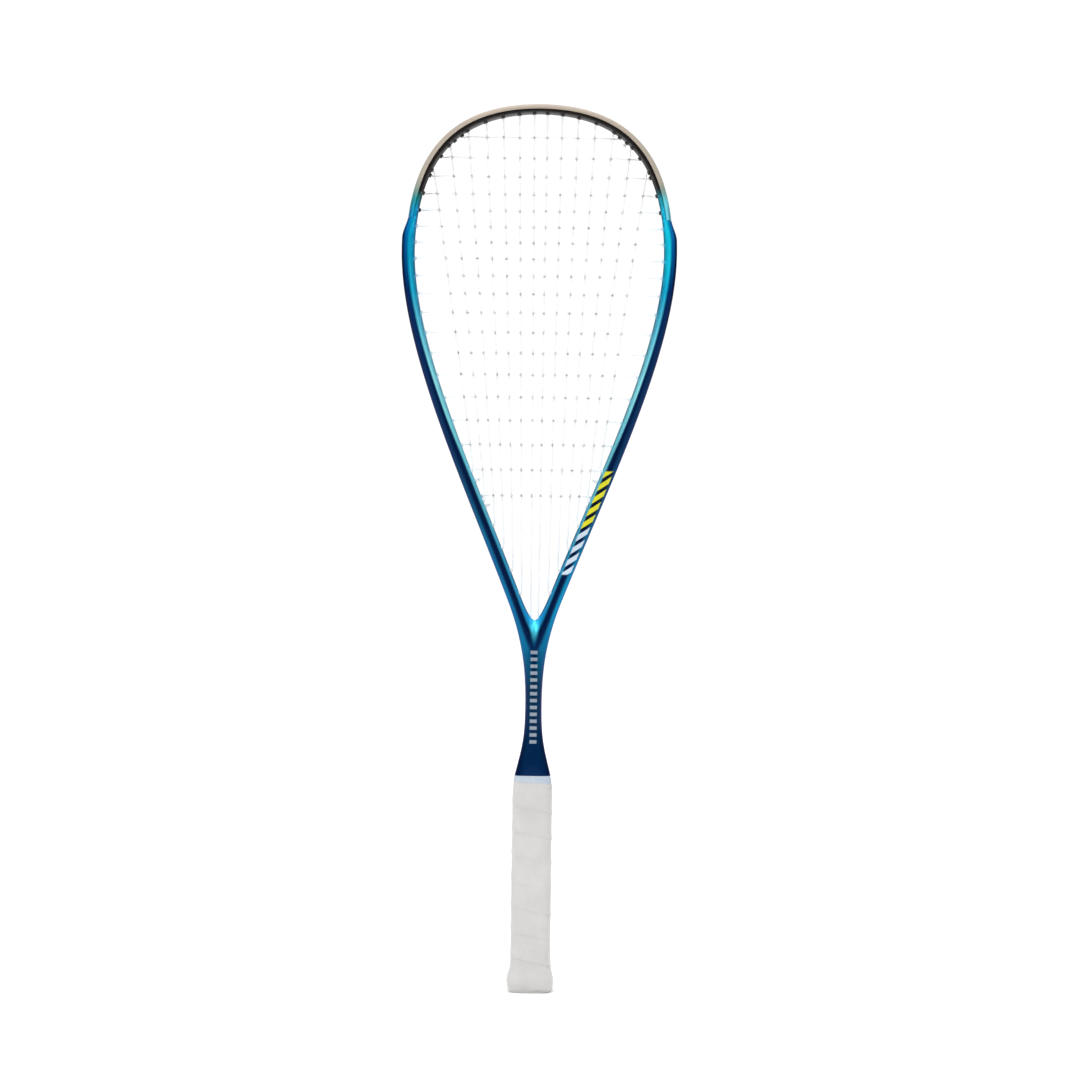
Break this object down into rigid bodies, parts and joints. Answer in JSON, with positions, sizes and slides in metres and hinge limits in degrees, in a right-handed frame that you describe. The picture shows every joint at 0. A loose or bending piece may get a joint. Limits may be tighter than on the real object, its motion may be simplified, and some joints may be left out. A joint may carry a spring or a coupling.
{
  "type": "squash racket",
  "caption": "Squash racket with an open-throat teardrop hoop, fanned strings, crown bumper, slim shaft and wound cushion grip with a flared butt",
  "frame": {"origin": "middle of the butt's flat end", "axes": "+Z along the racket from the butt to the tip, +X across the string bed to the right as seen from the front, +Y away from the viewer through the string bed"},
  "size_m": [0.2127, 0.0318, 0.686],
  "materials": {
    "frame_paint": "metallic pearl lacquer over carbon fibre, navy flanks and bright cyan inner faces, dark at the crown",
    "bumper": "satin champagne nylon",
    "grommet": "natural translucent nylon",
    "string": "clear coated white nylon multifilament",
    "foam": "moulded polyurethane foam",
    "cap_plastic": "moulded off-white plastic",
    "staple_steel": "drawn steel wire",
    "grip_cushion": "tacky off-white polyurethane ribbon over felt",
    "tape": "pale blue-white vinyl tape"
  },
  "bodies": {
    "root": {"frame": "frame_paint", "head_bumper": "bumper", "grommet_strip_left": "grommet", "grommet_strip_right": "grommet", "throat_grommet_left_1": "grommet", "throat_grommet_left_2": "grommet", "throat_grommet_left_3": "grommet", "throat_grommet_left_4": "grommet", "throat_grommet_left_5": "grommet", "throat_grommet_right_1": "grommet", "throat_grommet_right_2": "grommet", "throat_grommet_right_3": "grommet", "throat_grommet_right_4": "grommet", "throat_grommet_right_5": "grommet", "main_string": "string", "cross_string": "string", "handle_pallet": "foam", "butt_cap": "cap_plastic", "cap_staple_front": "staple_steel", "cap_staple_back": "staple_steel", "grip_tack": "staple_steel", "grip": "grip_cushion", "finishing_tape": "tape"}
  },
  "joints": []
}
